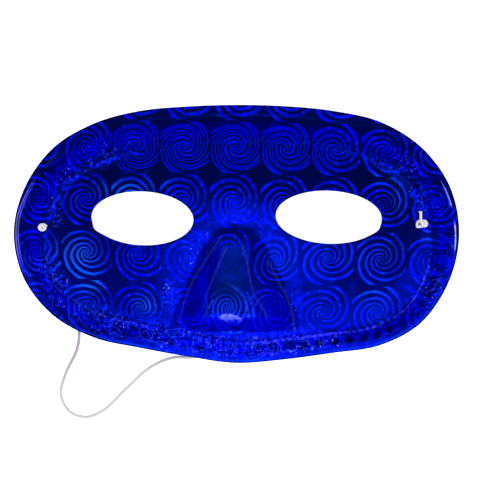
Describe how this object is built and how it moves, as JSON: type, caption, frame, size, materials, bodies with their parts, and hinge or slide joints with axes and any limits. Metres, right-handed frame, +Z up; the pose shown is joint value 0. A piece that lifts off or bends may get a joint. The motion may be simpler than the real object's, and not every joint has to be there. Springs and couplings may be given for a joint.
{
  "type": "metallic half mask",
  "caption": "Thin vacuum-formed half mask with a metallic swirl foil face, almond eye openings, a moulded nose and a thin elastic cord.",
  "frame": {"origin": "middle of the mask on the surface it lies on, under the bridge of the nose", "axes": "+X towards the mask's end at the right of the picture, along its length; +Y towards the forehead edge; +Z up, out of the face"},
  "size_m": [0.1786, 0.1252, 0.0305],
  "materials": {
    "foil": "metallic blue holographic foil, swirl pattern",
    "cord": "white elastic cord"
  },
  "bodies": {
    "root": {"mask_shell": "foil", "elastic_cord": "cord", "knot_left": "cord", "knot_right": "cord"}
  },
  "joints": []
}
